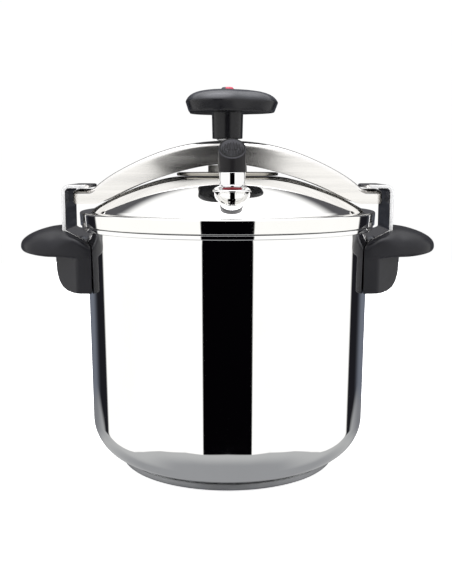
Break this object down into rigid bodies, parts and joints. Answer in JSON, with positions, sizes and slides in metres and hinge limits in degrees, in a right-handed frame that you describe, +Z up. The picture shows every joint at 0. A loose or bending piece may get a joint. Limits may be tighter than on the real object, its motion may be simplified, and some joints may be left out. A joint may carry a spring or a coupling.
{
  "type": "pressure canner",
  "caption": "Tall round steel stovetop pressure pot with a domed lid held by a bow across it, a screw-down knob, side hooks and black side handles.",
  "frame": {"origin": "centre of the base's underside, on the table", "axes": "+Z up along the pot, +X towards the right handle, the working valve is on the -Y side (front)"},
  "size_m": [0.365, 0.2586, 0.3303],
  "materials": {
    "stainless_mirror": "mirror-polished stainless steel",
    "stainless_base": "satin turned stainless steel",
    "stainless_brushed": "brushed and buffed stainless steel",
    "hardware_steel": "turned steel",
    "valve_chrome": "bright chrome",
    "aluminium_core": "as rolled",
    "brass_valve": "turned brass",
    "black_plastic": "satin moulded phenolic",
    "red_plastic": "smooth",
    "red_silicone": "matt",
    "black_rubber": "matt"
  },
  "bodies": {
    "pot": {"pot_body": "stainless_mirror", "base_core": "aluminium_core", "base_cap": "stainless_base", "left_bracket": "stainless_brushed", "right_bracket": "stainless_brushed", "left_handle": "black_plastic", "right_handle": "black_plastic", "left_handle_screw": "hardware_steel", "right_handle_screw": "hardware_steel"},
    "lid": {"lid": "stainless_mirror", "lid_gasket": "black_rubber", "pressure_disc": "stainless_brushed", "spindle_retainer": "hardware_steel", "vent_pipe": "valve_chrome", "valve_ring": "red_silicone", "vent_gasket": "black_rubber", "vent_nut": "hardware_steel", "safety_body": "brass_valve", "safety_gasket": "black_rubber", "safety_nut": "hardware_steel", "safety_spring": "hardware_steel"},
    "bow": {"bow": "stainless_brushed", "bow_nut": "hardware_steel"},
    "knob": {"knob": "black_plastic", "knob_badge": "red_plastic", "knob_screw": "hardware_steel", "spindle": "hardware_steel", "spindle_washer": "hardware_steel", "thrust_pad": "hardware_steel"},
    "working_valve": {"valve_body": "valve_chrome", "valve_cap": "black_plastic", "valve_spring": "hardware_steel"},
    "valve_needle": {"valve_needle": "hardware_steel"},
    "safety_plunger": {"safety_plunger": "hardware_steel"}
  },
  "joints": [
    {"name": "lid_turn", "type": "hinge", "parent": "pot", "child": "lid", "pos_m": [0, 0, 0.22], "axis": [0, 0, 1], "range_deg": [-90, 90]},
    {"name": "knob_turn", "type": "hinge", "parent": "lid", "child": "knob", "pos_m": [0, 0, 0.3], "axis": [0, 0, 1], "range_deg": [0, 180]},
    {"name": "bow_drop", "type": "slide", "parent": "lid", "child": "bow", "axis": [0, 0, -1], "range_m": [0, 0.001]},
    {"name": "valve_turn", "type": "hinge", "parent": "lid", "child": "working_valve", "pos_m": [0.0036, -0.084, 0.25], "axis": [0, 0, 1], "range_deg": [0, 180]},
    {"name": "needle_lift", "type": "slide", "parent": "working_valve", "child": "valve_needle", "axis": [0, 0, 1], "range_m": [0, 0.002], "stiffness_N_per_m": 300, "springref_m": -0.0025, "deforming": ["valve_spring"]},
    {"name": "safety_lift", "type": "slide", "parent": "lid", "child": "safety_plunger", "axis": [0, 0, 1], "range_m": [0, 0.0018], "stiffness_N_per_m": 400, "springref_m": -0.003, "deforming": ["safety_spring"]}
  ],
  "couplings": [
    {"joint": "bow_drop", "follows": "knob_turn", "m_per_rad": 0.00031831}
  ]
}
